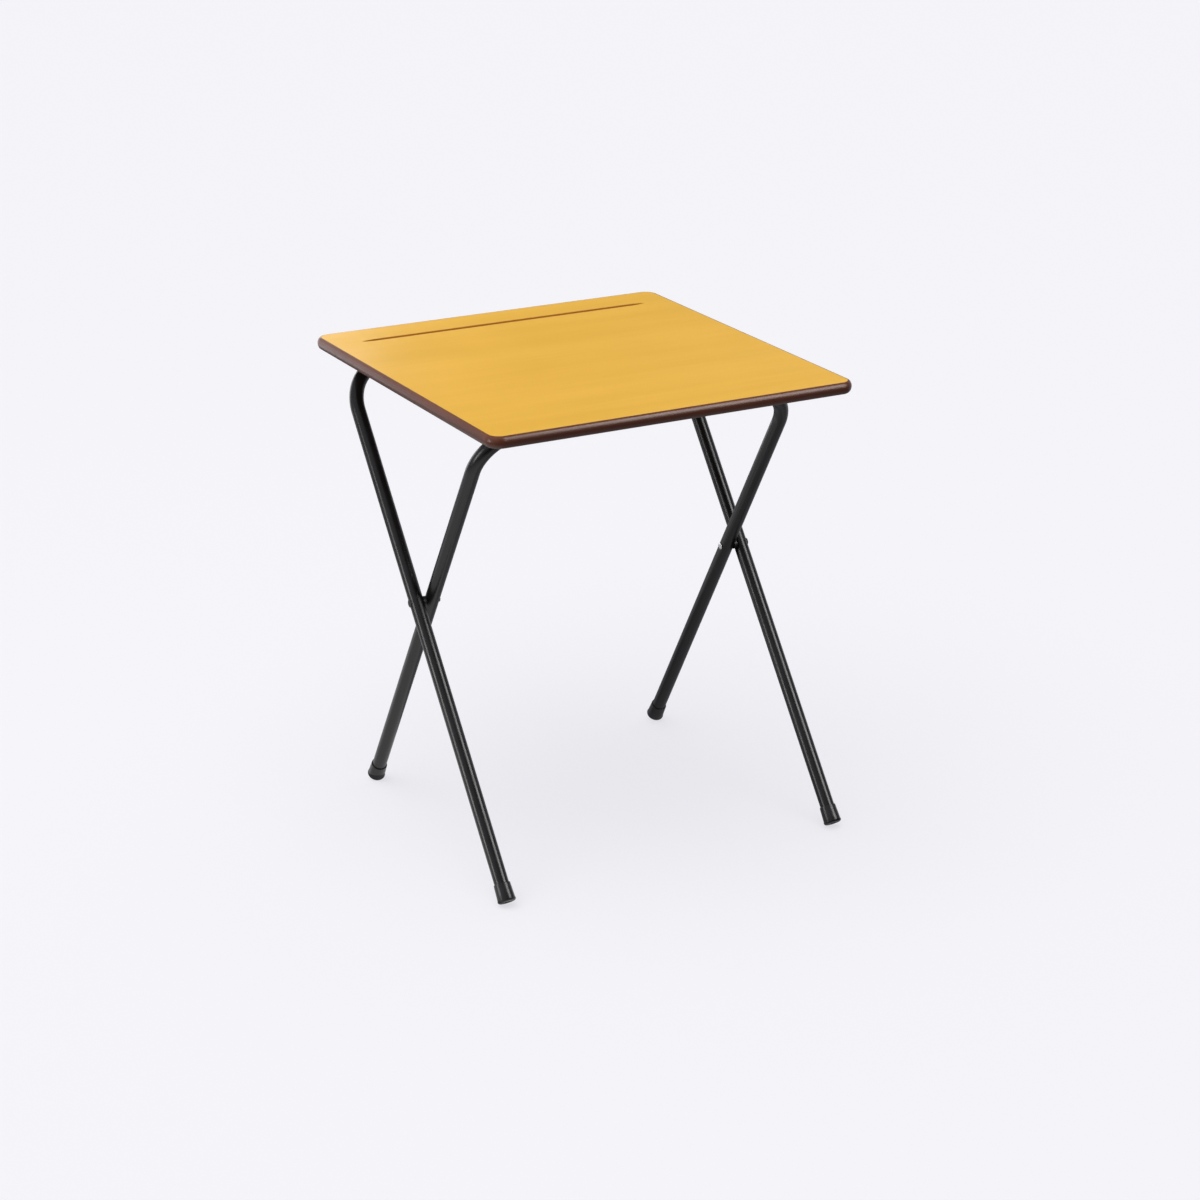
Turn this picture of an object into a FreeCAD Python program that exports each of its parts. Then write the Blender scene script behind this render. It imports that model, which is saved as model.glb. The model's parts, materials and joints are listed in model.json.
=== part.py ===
"""Folding table: a square laminated top on two crossing U-shaped tube leg frames.

Millimetres. +X is the table's right, +Y its back (the pencil groove's side), +Z up, with the floor at Z = 0
and the origin under the middle of the whole object. The taller leg frame, the outer one, reaches from the
front feet up to the rear of the top, where two saddle clamps let its bar turn. The inner frame reaches from
the rear feet up to the front, where its bar sits in two hooked catches. The frames turn on two rivets.
"""

import FreeCAD, Part
import Sketcher
import math
import os
import re

Vector = FreeCAD.Vector
Rotation = FreeCAD.Rotation
Placement = FreeCAD.Placement
SIDES = (("left", -1), ("right", 1))

# ---------------------------------------------------------------------------------------------------------
# Driving dimensions, in millimetres and degrees
# ---------------------------------------------------------------------------------------------------------
DIMENSIONS = {
    "top_width": 600.0,
    "top_depth": 600.0,
    "top_thick": 18.0,
    "top_height": 710.0,
    "corner_radius": 22.0,
    "edge_width": 6.0,
    "edge_round": 4.5,
    "sheet_thick": 0.8,
    "tongue_reach": 7.0,
    "tongue_thick": 2.2,
    "slot_play": 0.1,
    "groove_length": 502.0,
    "groove_width": 10.0,
    "groove_deep": 4.0,
    "groove_inset": 68.0,
    "groove_ramp": 30.0,
    "tube_radius": 11.0,
    "tube_wall": 1.5,
    "bend_radius": 75.0,
    "outer_half": 282.8,
    "inner_half": 257.7,
    "outer_tilt": 38.1,
    "inner_tilt": 30.0,
    "pivot_height": 375.4,
    "pivot_ahead": 18.47,
    "centre_shift": 8.36,
    "bar_drop": 11.5,
    "foot_radius": 13.9,
    "foot_neck": 12.5,
    "foot_rim": 3.6,
    "foot_lip": 4.0,
    "foot_step": 0.4,
    "foot_base": 5.0,
    "foot_grip": 23.0,
    "foot_play": 0.05,
    "rivet_radius": 3.0,
    "rivet_play": 0.05,
    "rivet_head": 5.2,
    "rivet_dome": 1.0,
    "rivet_flange": 0.5,
    "rivet_gap": 0.3,
    "clench_radius": 3.4,
    "clench_high": 0.4,
    "washer_radius": 4.0,
    "washer_thick": 0.3,
    "cap_radius": 6.0,
    "cap_bore": 4.1,
    "cap_high": 1.5,
    "cap_edge": 0.6,
    "cap_skirt": 2.0,
    "cap_recess": 0.75,
    "spacer_radius": 7.6,
    "spacer_saddle": 2.0,
    "spacer_gap": 0.3,
    "strap_thick": 2.0,
    "fitting_offset": 150.0,
    "clamp_play": 0.1,
    "clamp_width": 22.0,
    "clamp_reach": 31.0,
    "clamp_screw": 22.0,
    "catch_play": 0.4,
    "catch_width": 26.0,
    "catch_reach": 38.0,
    "catch_lip": 11.0,
    "catch_flare": 1.4,
    "catch_screw": 26.0,
    "catch_pitch": 13.0,
    "screw_radius": 1.9,
    "screw_length": 9.0,
    "screw_head": 3.6,
    "screw_dome": 2.2,
    "screw_play": 0.1,
    "recess_long": 3.6,
    "recess_wide": 0.9,
    "recess_deep": 1.2,
}

doc = FreeCAD.newDocument("folding_table")
sheet = doc.addObject("Spreadsheet::Sheet", "Dimensions")
for row, (alias, number) in enumerate(DIMENSIONS.items(), start=1):
    sheet.set(f"A{row}", alias)
    sheet.set(f"B{row}", str(number))
    sheet.setAlias(f"B{row}", alias)
doc.recompute()

# Lengths that several pieces share, as expressions of the sheet's cells.
BAR_HEIGHT = "(top_height - top_thick - bar_drop)"
CORE_THICK = "(top_thick - 2 * sheet_thick)"
FIELD_WIDTH = "(top_width - 2 * edge_width)"
FIELD_DEPTH = "(top_depth - 2 * edge_width)"
FIELD_RADIUS = "(corner_radius - edge_width)"
GROOVE_BALL = "((groove_width * groove_width / 4 + groove_deep * groove_deep) / (2 * groove_deep))"
EDGE_CROWN = "((edge_width * edge_width + top_thick * top_thick / 4 - top_thick * edge_round)"
EDGE_CROWN += " / (2 * (edge_width - edge_round)))"
GROOVE_END = f"((groove_ramp * groove_ramp + {GROOVE_BALL} * {GROOVE_BALL}) / (2 * {GROOVE_BALL}))"
TUBE_GAP = "(outer_half - inner_half - 2 * tube_radius)"
GRIP = "(outer_half - inner_half + 2 * tube_radius)"


# ---------------------------------------------------------------------------------------------------------
# Expression, sketch and body helpers
# ---------------------------------------------------------------------------------------------------------
def bound(expression):
    """The expression with each dimension's name pointing at its cell of the sheet."""
    return re.sub(r"\b([a-z]+_[a-z]+)\b", r"Dimensions.\1", str(expression))


def value(expression):
    """The number that an expression of the sheet's names gives."""
    return float(sheet.evalExpression(bound(expression)))


def new_body(label):
    body = doc.addObject("PartDesign::Body", label)
    body.Label = label
    return body


def new_sketch(body, name, role, offset=("0", "0", "0")):
    """A sketch on one of the body's origin planes, moved by an offset in the sketch's own axes."""
    sketch = body.newObject("Sketcher::SketchObject", f"{body.Name}_{name}")
    base_plane = next(item for item in body.Origin.OriginFeatures if item.Role == role)
    sketch.AttachmentSupport = [(base_plane, "")]
    sketch.MapMode = "FlatFace"
    for axis, expression in zip("xyz", offset):
        sketch.setExpression(f"AttachmentOffset.Base.{axis}", bound(expression))
    return sketch


def bind(sketch, kind, where, expression):
    """A dimensional constraint held to an expression of the sheet."""
    index = sketch.addConstraint(Sketcher.Constraint(kind, *where, value(expression)))
    sketch.setExpression(f"Constraints[{index}]", bound(expression))


def circle(sketch, radius, centre=("0", "0")):
    """A circle with its centre and radius held to expressions."""
    x, y = (value(item) for item in centre)
    index = sketch.addGeometry(Part.Circle(Vector(x, y, 0), Vector(0, 0, 1), value(radius)), False)
    bind(sketch, "DistanceX", (-1, 1, index, 3), centre[0])
    bind(sketch, "DistanceY", (-1, 1, index, 3), centre[1])
    bind(sketch, "Radius", (index,), radius)


def arc_between(start, end, radius, turn):
    """The minor arc from start to end, with turn 1 for anticlockwise and -1 for clockwise."""
    middle = (start + end) * 0.5
    chord = end - start
    rise = math.sqrt(max(radius**2 - chord.Length**2 / 4, 0.0))
    normal = Vector(-chord.y, chord.x, 0).normalize()
    centre = middle + normal * rise * turn
    first, last = (start, end) if turn > 0 else (end, start)
    angles = [math.atan2(point.y - centre.y, point.x - centre.x) for point in (first, last)]
    return Part.ArcOfCircle(Part.Circle(centre, Vector(0, 0, 1), radius), *angles)


def outline(sketch, corners):
    """A closed outline. A corner is (x, y), or (x, y, radius, turn) where an arc arrives at it."""
    points = [Vector(value(corner[0]), value(corner[1]), 0) for corner in corners]
    ends = []
    for index, corner in enumerate(corners):
        start, end = points[index - 1], points[index]
        if len(corner) == 2:
            edge = sketch.addGeometry(Part.LineSegment(start, end), False)
            ends.append((edge, 1, 2))
        else:
            _, _, radius, turn = corner
            edge = sketch.addGeometry(arc_between(start, end, value(radius), turn), False)
            ends.append((edge, 1, 2) if turn > 0 else (edge, 2, 1))
            bind(sketch, "Radius", (edge,), radius)
    for index, corner in enumerate(corners):
        edge, _, last = ends[index]
        following, first, _ = ends[(index + 1) % len(ends)]
        sketch.addConstraint(Sketcher.Constraint("Coincident", edge, last, following, first))
        bind(sketch, "DistanceX", (-1, 1, edge, last), corner[0])
        bind(sketch, "DistanceY", (-1, 1, edge, last), corner[1])


def rounded_rectangle(sketch, width, depth, radius):
    """A rectangle with round corners, centred on the sketch's origin."""
    right = f"({width}) / 2"
    back = f"({depth}) / 2"
    inner_x = f"({right} - ({radius}))"
    inner_y = f"({back} - ({radius}))"
    outline(
        sketch,
        [
            (inner_x, f"-{back}"),
            (right, f"-{inner_y}", radius, 1),
            (right, inner_y),
            (inner_x, back, radius, 1),
            (f"-{inner_x}", back),
            (f"-{right}", inner_y, radius, 1),
            (f"-{right}", f"-{inner_y}"),
            (f"-{inner_x}", f"-{back}", radius, 1),
        ],
    )


def pad(body, sketch, length, midplane=False):
    feature = body.newObject("PartDesign::Pad", f"{sketch.Name}_pad")
    feature.Profile = sketch
    feature.Midplane = midplane
    feature.setExpression("Length", bound(length))
    sketch.Visibility = False
    doc.recompute()
    return feature


def checked_cut(body, feature):
    """Recompute after a cut and stop if it removed nothing."""
    before = feature.BaseFeature.Shape.Volume
    doc.recompute()
    if feature.Shape.Volume > before - 0.01:
        raise RuntimeError(f"{feature.Name} removes nothing from {body.Label}")
    return feature


def pocket(body, sketch, length, midplane=False, reversed_cut=False):
    """A pocket that runs against the sketch's normal, or along it when reversed_cut is set."""
    feature = body.newObject("PartDesign::Pocket", f"{sketch.Name}_pocket")
    feature.Profile = sketch
    feature.Midplane = midplane
    feature.Reversed = reversed_cut
    feature.setExpression("Length", bound(length))
    sketch.Visibility = False
    return checked_cut(body, feature)


def revolve(body, sketch, axis="V_Axis"):
    feature = body.newObject("PartDesign::Revolution", f"{sketch.Name}_turned")
    feature.Profile = sketch
    feature.ReferenceAxis = (sketch, [axis])
    feature.Angle = 360.0
    sketch.Visibility = False
    doc.recompute()
    return feature


# ---------------------------------------------------------------------------------------------------------
# Where things stand
# ---------------------------------------------------------------------------------------------------------
def board_placement():
    """The middle of the top's thickness."""
    return Placement(Vector(0, value("centre_shift"), value("top_height - top_thick / 2")), Rotation())


def frame_placement(tilt):
    """A leg frame's own frame: the origin on the pivots' axis, +Z up along the legs."""
    position = Vector(0, value("centre_shift - pivot_ahead"), value("pivot_height"))
    return Placement(position, Rotation(Vector(1, 0, 0), tilt))


def outer_frame_placement():
    return frame_placement(-value("outer_tilt"))


def inner_frame_placement():
    return frame_placement(value("inner_tilt"))


def bar_rise(tilt_name):
    """How far a frame's bar stands from the pivots' axis, as an expression."""
    return f"({BAR_HEIGHT} - pivot_height) / cos({tilt_name})"


def leg_drop(tilt_name):
    """How far the tubes run below the pivots' axis, so that the tilted foot's rim stands on the floor."""
    rim = f"((foot_radius - foot_rim) * sin({tilt_name}) + foot_rim * (1 - cos({tilt_name})))"
    return f"((pivot_height - {rim}) / cos({tilt_name}) - foot_base)"


def bar_ahead(tilt_name, direction):
    """The Y of a frame's bar: direction is 1 for the rear bar and -1 for the front one."""
    reach = f"({BAR_HEIGHT} - pivot_height) * tan({tilt_name})"
    return value(f"centre_shift - pivot_ahead + ({direction}) * {reach}")


def outward(side, distance):
    """A placement at a distance along the pivots' axis, its +Z pointing away from the table's middle."""
    turn = Rotation(Vector(0, 1, 0), 90 * side)
    return Placement(Vector(side * distance, 0, 0), turn)


# ---------------------------------------------------------------------------------------------------------
# The top
# ---------------------------------------------------------------------------------------------------------
def pencil_groove(body):
    """Cut the pencil groove: a round-bottomed channel along X that runs out at both ends, near the back."""
    axis_height = f"top_thick / 2 + {GROOVE_BALL} - groove_deep"
    sketch = new_sketch(body, "groove", "XZ_Plane", ("0", axis_height, "groove_inset - top_depth / 2"))
    half = "groove_length / 2"
    ball = GROOVE_BALL
    corners = [
        (f"-{half}", "0"),
        (f"groove_ramp - {half}", f"-{ball}", GROOVE_END, 1),
        (f"{half} - groove_ramp", f"-{ball}"),
        (half, "0", GROOVE_END, 1),
    ]
    outline(sketch, corners)
    feature = body.newObject("PartDesign::Groove", f"{body.Name}_pencil_groove")
    feature.Profile = sketch
    feature.ReferenceAxis = (sketch, ["H_Axis"])
    feature.Angle = 360.0
    sketch.Visibility = False
    return checked_cut(body, feature)


def fitting_screws():
    """Each fitting screw's place as expressions: x, then y from the middle of the top."""
    rear = f"(({BAR_HEIGHT} - pivot_height) * tan(outer_tilt) - pivot_ahead)"
    front = f"(-({BAR_HEIGHT} - pivot_height) * tan(inner_tilt) - pivot_ahead)"
    rear_places = []
    front_places = []
    for _, side in SIDES:
        for step in (-1, 1):
            rear_places.append((f"({side}) * fitting_offset", f"{rear} + ({step}) * clamp_screw"))
            across = f"({side}) * fitting_offset + ({step}) * catch_pitch / 2"
            front_places.append((across, f"{front} - catch_screw"))
    return rear_places, front_places


def screw_holes(body, from_height, depth):
    """Cut the holes for every fitting screw, from a height in the board's own frame downwards."""
    sketch = new_sketch(body, "holes", "XY_Plane", ("0", "0", from_height))
    rear_places, front_places = fitting_screws()
    for place in rear_places + front_places:
        circle(sketch, "screw_radius + screw_play", place)
    return pocket(body, sketch, depth)


def make_core():
    """The board: slotted all round for the edging's tongue, grooved on top, drilled underneath."""
    body = new_body("top_core")
    board = new_sketch(body, "board", "XY_Plane")
    rounded_rectangle(board, FIELD_WIDTH, FIELD_DEPTH, FIELD_RADIUS)
    pad(body, board, CORE_THICK, midplane=True)
    slot = new_sketch(body, "slot", "XY_Plane")
    rounded_rectangle(slot, "top_width", "top_depth", "corner_radius")
    reach = "(2 * (tongue_reach + slot_play))"
    slot_round = f"{FIELD_RADIUS} - tongue_reach - slot_play"
    rounded_rectangle(slot, f"{FIELD_WIDTH} - {reach}", f"{FIELD_DEPTH} - {reach}", slot_round)
    pocket(body, slot, "tongue_thick + 2 * slot_play", midplane=True)
    pencil_groove(body)
    screw_holes(body, "0", "top_thick / 2")
    body.Placement = board_placement()
    return body


def make_laminate():
    """The decorative sheet, with the groove routed through it."""
    body = new_body("top_laminate")
    field = new_sketch(body, "field", "XY_Plane", ("0", "0", "top_thick / 2 - sheet_thick"))
    rounded_rectangle(field, FIELD_WIDTH, FIELD_DEPTH, FIELD_RADIUS)
    pad(body, field, "sheet_thick")
    pencil_groove(body)
    body.Placement = board_placement()
    return body


def make_balancer():
    """The plain sheet under the board that keeps it flat."""
    body = new_body("balancing_laminate")
    field = new_sketch(body, "field", "XY_Plane", ("0", "0", "-top_thick / 2"))
    rounded_rectangle(field, FIELD_WIDTH, FIELD_DEPTH, FIELD_RADIUS)
    pad(body, field, "sheet_thick")
    screw_holes(body, "0", "top_thick / 2")
    body.Placement = board_placement()
    return body


def make_edging():
    """The edging: a strip with a crowned nose, carried round the board, and a tongue for the core's slot."""
    body = new_body("edge_moulding")
    loop = new_sketch(body, "loop", "XY_Plane")
    rounded_rectangle(loop, FIELD_WIDTH, FIELD_DEPTH, FIELD_RADIUS)
    start = f"({FIELD_WIDTH} / 2 - {FIELD_RADIUS})"
    nose = new_sketch(body, "nose", "YZ_Plane", ("0", "0", f"-{start}"))
    front = f"({FIELD_DEPTH} / 2)"
    half = "(top_thick / 2)"
    crown_corner = f"({half} - edge_round)"
    crown_reach = f"({EDGE_CROWN} - edge_width)"
    share = f"(edge_round / ({EDGE_CROWN} - edge_round))"
    shoulder = f"-{front} - {share} * {crown_reach}"
    shoulder_height = f"({crown_corner} + {share} * {crown_corner})"
    corners = [
        (f"-{front}", half),
        (shoulder, shoulder_height, "edge_round", 1),
        (shoulder, f"-{shoulder_height}", EDGE_CROWN, 1),
        (f"-{front}", f"-{half}", "edge_round", 1),
    ]
    outline(nose, corners)
    doc.recompute()
    strip = body.newObject("PartDesign::AdditivePipe", "edge_moulding_strip")
    strip.Profile = nose
    strip.Spine = (loop, [f"Edge{number}" for number in range(1, 9)])
    doc.recompute()
    loop.Visibility = False
    nose.Visibility = False
    tongue = new_sketch(body, "tongue", "XY_Plane")
    root_round = "corner_radius - edge_width / 2"
    rounded_rectangle(tongue, f"{FIELD_WIDTH} + edge_width", f"{FIELD_DEPTH} + edge_width", root_round)
    reach = "(2 * tongue_reach)"
    inner_round = f"{FIELD_RADIUS} - tongue_reach"
    rounded_rectangle(tongue, f"{FIELD_WIDTH} - {reach}", f"{FIELD_DEPTH} - {reach}", inner_round)
    pad(body, tongue, "tongue_thick", midplane=True)
    body.Placement = board_placement()
    return body


# ---------------------------------------------------------------------------------------------------------
# The leg frames and their feet
# ---------------------------------------------------------------------------------------------------------
def make_leg_frame(label, half_width, tilt_name, placement):
    """One tube bent into an upside-down U, drilled across both legs for the pivots."""
    body = new_body(label)
    drop = leg_drop(tilt_name)
    rise = bar_rise(tilt_name)
    path = new_sketch(body, "path", "XZ_Plane")
    half, low, high, bend = value(half_width), value(drop), value(rise), value("bend_radius")
    lines = [
        Part.LineSegment(Vector(-half, -low, 0), Vector(-half, high - bend, 0)),
        arc_between(Vector(-half, high - bend, 0), Vector(bend - half, high, 0), bend, -1),
        Part.LineSegment(Vector(bend - half, high, 0), Vector(half - bend, high, 0)),
        arc_between(Vector(half - bend, high, 0), Vector(half, high - bend, 0), bend, -1),
        Part.LineSegment(Vector(half, high - bend, 0), Vector(half, -low, 0)),
    ]
    for line in lines:
        path.addGeometry(line, False)
    joins = [(0, 2, 1, 2), (1, 1, 2, 1), (2, 2, 3, 2), (3, 1, 4, 1)]
    for join in joins:
        path.addConstraint(Sketcher.Constraint("Tangent", *join))
    path.addConstraint(Sketcher.Constraint("Vertical", 0))
    path.addConstraint(Sketcher.Constraint("Horizontal", 2))
    path.addConstraint(Sketcher.Constraint("Vertical", 4))
    path.addConstraint(Sketcher.Constraint("Equal", 1, 3))
    bind(path, "Radius", (1,), "bend_radius")
    bind(path, "DistanceX", (0, 1, -1, 1), half_width)
    bind(path, "DistanceX", (-1, 1, 4, 2), half_width)
    bind(path, "DistanceY", (0, 1, -1, 1), drop)
    bind(path, "DistanceY", (4, 2, -1, 1), drop)
    bind(path, "DistanceY", (-1, 1, 2, 1), rise)
    section = new_sketch(body, "section", "XY_Plane", (f"-{half_width}", "0", f"-{drop}"))
    circle(section, "tube_radius")
    circle(section, "tube_radius - tube_wall")
    doc.recompute()
    tube = body.newObject("PartDesign::AdditivePipe", f"{label}_tube")
    tube.Profile = section
    tube.Spine = (path, [f"Edge{number}" for number in range(1, 6)])
    doc.recompute()
    path.Visibility = False
    section.Visibility = False
    holes = new_sketch(body, "pivot_holes", "YZ_Plane")
    circle(holes, "rivet_radius + rivet_play")
    pocket(body, holes, "2 * top_width", midplane=True)
    body.Placement = placement
    return body


def make_foot(label, side, half_width, tilt_name, placement):
    """A tapered cap on a tube's end, with a stepped lip and a rounded rim."""
    body = new_body(label)
    profile = new_sketch(body, "profile", "XZ_Plane")
    corners = [
        ("0", "-foot_base"),
        ("foot_radius - foot_rim", "-foot_base"),
        ("foot_radius", "foot_rim - foot_base", "foot_rim", 1),
        ("foot_radius", "foot_lip - foot_base"),
        ("foot_radius - foot_step", "foot_lip - foot_base + foot_step"),
        ("foot_neck", "foot_grip - foot_step"),
        ("foot_neck - foot_step", "foot_grip"),
        ("tube_radius + foot_play", "foot_grip"),
        ("tube_radius + foot_play", "0"),
        ("0", "0"),
    ]
    outline(profile, corners)
    revolve(body, profile)
    tube_end = Placement(Vector(side * value(half_width), 0, -value(leg_drop(tilt_name))), Rotation())
    body.Placement = placement.multiply(tube_end)
    return body


# ---------------------------------------------------------------------------------------------------------
# The pivots
# ---------------------------------------------------------------------------------------------------------
def make_rivet(side_name, side):
    """A rivet through both tubes: a low domed head inside, clenched over the washer outside."""
    body = new_body(f"pivot_rivet_{side_name}")
    profile = new_sketch(body, "profile", "XZ_Plane")
    dome_radius = "((rivet_head * rivet_head + rivet_dome * rivet_dome) / (2 * rivet_dome))"
    seat = f"{GRIP} + washer_thick"
    corners = [
        ("0", "-rivet_gap - rivet_flange - rivet_dome"),
        ("rivet_head", "-rivet_gap - rivet_flange", dome_radius, 1),
        ("rivet_head", "-rivet_gap"),
        ("rivet_radius", "-rivet_gap"),
        ("rivet_radius", seat),
        ("clench_radius", seat),
        ("clench_radius - clench_high / 2", f"{seat} + clench_high"),
        ("0", f"{seat} + clench_high"),
    ]
    outline(profile, corners)
    revolve(body, profile)
    inner_face = outward(side, value("inner_half - tube_radius"))
    body.Placement = outer_frame_placement().multiply(inner_face)
    return body


def make_washer(side_name, side):
    """The washer between the outer tube and the rivet's clenched end."""
    body = new_body(f"pivot_washer_{side_name}")
    ring = new_sketch(body, "ring", "XY_Plane")
    circle(ring, "washer_radius")
    circle(ring, "rivet_radius + rivet_play")
    pad(body, ring, "washer_thick")
    outer_face = outward(side, value("outer_half + tube_radius"))
    body.Placement = outer_frame_placement().multiply(outer_face)
    return body


def make_cap(side_name, side):
    """The domed cap over the washer and the rivet's clenched end, saddled to sit on the tube."""
    body = new_body(f"pivot_cap_{side_name}")
    profile = new_sketch(body, "profile", "XZ_Plane")
    dome = "(cap_high - cap_edge)"
    dome_radius = f"((cap_radius * cap_radius + {dome} * {dome}) / (2 * {dome}))"
    corners = [
        ("0", "cap_recess"),
        ("cap_bore", "cap_recess"),
        ("cap_bore", "-cap_skirt"),
        ("cap_radius", "-cap_skirt"),
        ("cap_radius", "cap_edge"),
        ("0", "cap_high", dome_radius, 1),
    ]
    outline(profile, corners)
    revolve(body, profile)
    saddle = new_sketch(body, "saddle", "YZ_Plane")
    circle(saddle, "tube_radius + foot_play", ("0", "-tube_radius"))
    pocket(body, saddle, "4 * tube_radius", midplane=True)
    outer_face = outward(side, value("outer_half + tube_radius"))
    body.Placement = outer_frame_placement().multiply(outer_face)
    return body


def make_spacer(side_name, side):
    """The spacer that keeps the tubes apart: flat to the inner tube, saddled round the outer one."""
    body = new_body(f"pivot_spacer_{side_name}")
    disc = new_sketch(body, "disc", "XY_Plane", ("0", "0", "spacer_gap"))
    circle(disc, "spacer_radius")
    circle(disc, "rivet_radius + rivet_play")
    pad(body, disc, f"{TUBE_GAP} - spacer_gap + spacer_saddle")
    saddle = new_sketch(body, "saddle", "YZ_Plane")
    circle(saddle, "tube_radius + foot_play", ("0", f"{TUBE_GAP} + tube_radius"))
    pocket(body, saddle, "4 * tube_radius", midplane=True)
    inner_face = outward(side, value("inner_half + tube_radius"))
    body.Placement = outer_frame_placement().multiply(inner_face)
    return body


# ---------------------------------------------------------------------------------------------------------
# The fittings under the top
# ---------------------------------------------------------------------------------------------------------
def make_clamp(side_name, side):
    """A strap bent round the rear bar, its two wings screwed up against the top."""
    body = new_body(f"rear_clamp_{side_name}")
    section = new_sketch(body, "section", "YZ_Plane")
    inside = "(tube_radius + clamp_play)"
    outside = "(tube_radius + clamp_play + strap_thick)"
    under = "(bar_drop - strap_thick)"
    corners = [
        ("-clamp_reach", "bar_drop"),
        ("-clamp_reach", under),
        (f"-{outside}", under),
        (f"-{outside}", "0"),
        ("0", f"-{outside}", outside, 1),
        (outside, "0", outside, 1),
        (outside, under),
        ("clamp_reach", under),
        ("clamp_reach", "bar_drop"),
        (inside, "bar_drop"),
        (inside, "0"),
        ("0", f"-{inside}", inside, -1),
        (f"-{inside}", "0", inside, -1),
        (f"-{inside}", "bar_drop"),
    ]
    outline(section, corners)
    pad(body, section, "clamp_width", midplane=True)
    holes = new_sketch(body, "holes", "XY_Plane")
    for step in (-1, 1):
        circle(holes, "screw_radius + screw_play", ("0", f"({step}) * clamp_screw"))
    pocket(body, holes, "2 * bar_drop", reversed_cut=True)
    bar = Vector(side * value("fitting_offset"), bar_ahead("outer_tilt", 1), value(BAR_HEIGHT))
    body.Placement = Placement(bar, Rotation())
    return body


def make_catch(side_name, side):
    """A hooked strap, screwed up in front of the front bar and open to the rear for it to slide out."""
    body = new_body(f"front_catch_{side_name}")
    section = new_sketch(body, "section", "YZ_Plane")
    inside = "(tube_radius + catch_play)"
    outside = "(tube_radius + catch_play + strap_thick)"
    under = "(bar_drop - strap_thick)"
    corners = [
        ("-catch_reach", "bar_drop"),
        ("-catch_reach", under),
        (f"-{outside}", under),
        (f"-{outside}", "0"),
        ("0", f"-{outside}", outside, 1),
        ("catch_lip", f"-{outside} - catch_flare"),
        ("catch_lip", f"-{inside} - catch_flare"),
        ("0", f"-{inside}"),
        (f"-{inside}", "0", inside, -1),
        (f"-{inside}", "bar_drop"),
    ]
    outline(section, corners)
    pad(body, section, "catch_width", midplane=True)
    holes = new_sketch(body, "holes", "XY_Plane")
    for step in (-1, 1):
        circle(holes, "screw_radius + screw_play", (f"({step}) * catch_pitch / 2", "-catch_screw"))
    pocket(body, holes, "2 * bar_drop", reversed_cut=True)
    bar = Vector(side * value("fitting_offset"), bar_ahead("inner_tilt", -1), value(BAR_HEIGHT))
    body.Placement = Placement(bar, Rotation())
    return body


def make_screw(label, x, y, seat_height):
    """A pan-head screw with a cross recess, pointing up, its head's flat side at the seat height."""
    body = new_body(label)
    profile = new_sketch(body, "profile", "XZ_Plane")
    dome_radius = "((screw_head * screw_head + screw_dome * screw_dome) / (2 * screw_dome))"
    corners = [
        ("0", "-screw_dome"),
        ("screw_head", "0", dome_radius, 1),
        ("screw_radius", "0"),
        ("screw_radius", "screw_length - screw_radius"),
        ("0", "screw_length"),
    ]
    outline(profile, corners)
    revolve(body, profile)
    cross = new_sketch(body, "cross", "XY_Plane", ("0", "0", "-screw_dome"))
    long_side = "recess_long / 2"
    short_side = "recess_wide / 2"
    quarter = [(long_side, short_side), (short_side, short_side), (short_side, long_side)]
    back = quarter[::-1]
    corners = []
    for sign_x, sign_y, arm in ((1, 1, quarter), (-1, 1, back), (-1, -1, quarter), (1, -1, back)):
        corners += [(f"({sign_x}) * {arm_x}", f"({sign_y}) * {arm_y}") for arm_x, arm_y in arm]
    outline(cross, corners)
    pocket(body, cross, "recess_deep", reversed_cut=True)
    body.Placement = Placement(Vector(x, y, seat_height), Rotation())
    return body


def make_screw_group(label, places):
    """All the screws of one kind of fitting as one sub-part of separate solids."""
    seat_height = value("top_height - top_thick - strap_thick")
    screws = []
    for number, (x, y) in enumerate(places, start=1):
        screws.append(make_screw(f"{label}_{number}", value(x), value(f"centre_shift + {y}"), seat_height))
    group = doc.addObject("Part::Compound", label)
    group.Label = label
    group.Links = screws
    doc.recompute()
    return group


# ---------------------------------------------------------------------------------------------------------
# Build, check and write
# ---------------------------------------------------------------------------------------------------------
def make_all():
    parts = [make_core(), make_laminate(), make_balancer(), make_edging()]
    outer_place = outer_frame_placement()
    inner_place = inner_frame_placement()
    parts.append(make_leg_frame("outer_leg_frame", "outer_half", "outer_tilt", outer_place))
    parts.append(make_leg_frame("inner_leg_frame", "inner_half", "inner_tilt", inner_place))
    for side_name, side in SIDES:
        parts.append(make_foot(f"front_foot_{side_name}", side, "outer_half", "outer_tilt", outer_place))
        parts.append(make_foot(f"rear_foot_{side_name}", side, "inner_half", "inner_tilt", inner_place))
        for make in (make_rivet, make_washer, make_cap, make_spacer, make_clamp, make_catch):
            parts.append(make(side_name, side))
    rear_places, front_places = fitting_screws()
    parts.append(make_screw_group("rear_clamp_screws", rear_places))
    parts.append(make_screw_group("front_catch_screws", front_places))
    return parts


parts = make_all()
doc.recompute()
for item in doc.Objects:
    if "Invalid" in item.State or "Error" in item.State:
        raise RuntimeError(f"{item.Name} failed: {item.State}")
for part in parts:
    if part.Shape.isNull() or not part.Shape.isValid():
        raise RuntimeError(f"{part.Label} has no valid shape")

os.makedirs("parts", exist_ok=True)
for part in parts:
    part.Shape.exportStep(f"parts/{part.Label}.step")
    print(f"{part.Label}: {len(part.Shape.Solids)} solid, {part.Shape.Volume / 1000:.2f} cm3")
box = Part.makeCompound([part.Shape for part in parts]).optimalBoundingBox(False, False)
print(f"X {box.XMin:.3f} to {box.XMax:.3f}, Y {box.YMin:.3f} to {box.YMax:.3f}")
print(f"Z {box.ZMin:.3f} to {box.ZMax:.3f}")
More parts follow.
